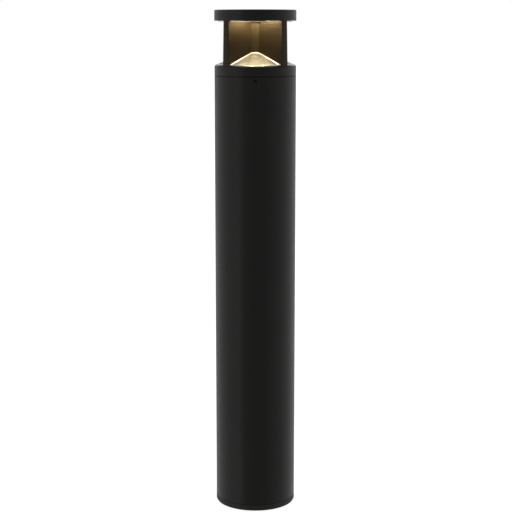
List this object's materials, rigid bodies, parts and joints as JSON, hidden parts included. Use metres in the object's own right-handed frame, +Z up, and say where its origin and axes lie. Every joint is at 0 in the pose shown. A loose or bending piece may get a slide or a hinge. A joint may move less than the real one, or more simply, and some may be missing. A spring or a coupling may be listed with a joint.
{
  "type": "bollard light",
  "caption": "Round path bollard light with a down-facing LED ring under its cap, an X-shaped baffle and cone reflectors in its windows, on an anchor flange.",
  "frame": {"origin": "centre of the foot, on the ground", "axes": "+Z up along the tube's axis, -Y towards the front window and the visible set screw"},
  "size_m": [0.16, 0.16, 0.995],
  "materials": {
    "powder_coat": "fine-textured satin black powder coat",
    "pad_rubber": "matte black rubber",
    "silicone": "soft translucent grey silicone",
    "zinc_sheet": "zinc-plated sheet steel",
    "steel_fastener": "stainless steel",
    "dark_fastener": "black-oxide steel",
    "box_plastic": "light grey moulded plastic",
    "terminal_plastic": "off-white moulded plastic",
    "brass": "plain brass",
    "gland_nylon": "black nylon",
    "gland_metal": "nickel-plated brass",
    "driver_shell": "white moulded plastic",
    "lead_jacket": "black rubber jacket",
    "earth_wire": "green and yellow insulation",
    "tin_plate": "tinned copper",
    "reflector_finish": "satin anodised reflector, rolled bright edges",
    "lens_clear": "clear tempered",
    "board_mask": "white solder mask",
    "led_phosphor": "warm white LED package",
    "core_insulation": "insulated cores"
  },
  "bodies": {
    "foot": {"base_pad": "pad_rubber", "base_plate": "powder_coat", "base_ring": "powder_coat", "gear_tray": "zinc_sheet", "tray_leg": "zinc_sheet", "tray_foot": "zinc_sheet", "tray_edges": "zinc_sheet", "socket_tab": "zinc_sheet", "tray_screws": "steel_fastener", "junction_box": "box_plastic", "box_seal": "pad_rubber", "box_lid": "box_plastic", "box_lid_screws": "steel_fastener", "box_fixing_screws": "steel_fastener", "terminal_block": "terminal_plastic", "terminal_screws": "brass", "supply_gland": "gland_nylon", "supply_gland_locknut": "gland_nylon", "supply_gland_nut": "gland_nylon", "supply_gland_seal": "pad_rubber", "link_grommet": "pad_rubber", "link_lead": "lead_jacket", "driver_case": "driver_shell", "driver_screws": "steel_fastener", "output_lead": "lead_jacket", "lead_socket": "gland_nylon", "socket_nut": "gland_nylon", "earth_screw": "steel_fastener", "earth_tag": "tin_plate", "earth_lead": "earth_wire", "earth_grommet": "pad_rubber"},
    "tube": {"body_tube": "powder_coat", "head_set_screws": "dark_fastener", "base_set_screws": "dark_fastener"},
    "seal": {"head_seal": "pad_rubber"},
    "head": {"head_base": "powder_coat", "light_baffle": "powder_coat", "reflector_front": "reflector_finish", "reflector_right": "reflector_finish", "reflector_back": "reflector_finish", "reflector_left": "reflector_finish", "reflector_screws": "steel_fastener", "top_cap": "powder_coat", "cap_bolts": "steel_fastener", "post_seal": "silicone", "lens": "lens_clear", "lens_gasket_outer": "silicone", "lens_gasket_inner": "silicone", "thermal_pad": "silicone", "led_board": "board_mask", "led_chips": "led_phosphor", "led_board_screws": "steel_fastener", "board_connector": "terminal_plastic", "led_wires": "core_insulation", "head_lead": "lead_jacket", "lead_gland": "gland_metal", "lead_gland_nut": "gland_metal", "head_lead_plug": "gland_nylon"}
  },
  "joints": [
    {"name": "tube_lift", "type": "slide", "parent": "foot", "child": "tube", "axis": [0, 0, 1], "range_m": [0, 0.45]},
    {"name": "head_lift", "type": "slide", "parent": "tube", "child": "seal", "axis": [0, 0, 1], "range_m": [0, 0.08]},
    {"name": "head_turn", "type": "hinge", "parent": "seal", "child": "head", "pos_m": [0, 0, 0.85], "axis": [0, 0, 1], "range_deg": [-45, 45]}
  ]
}
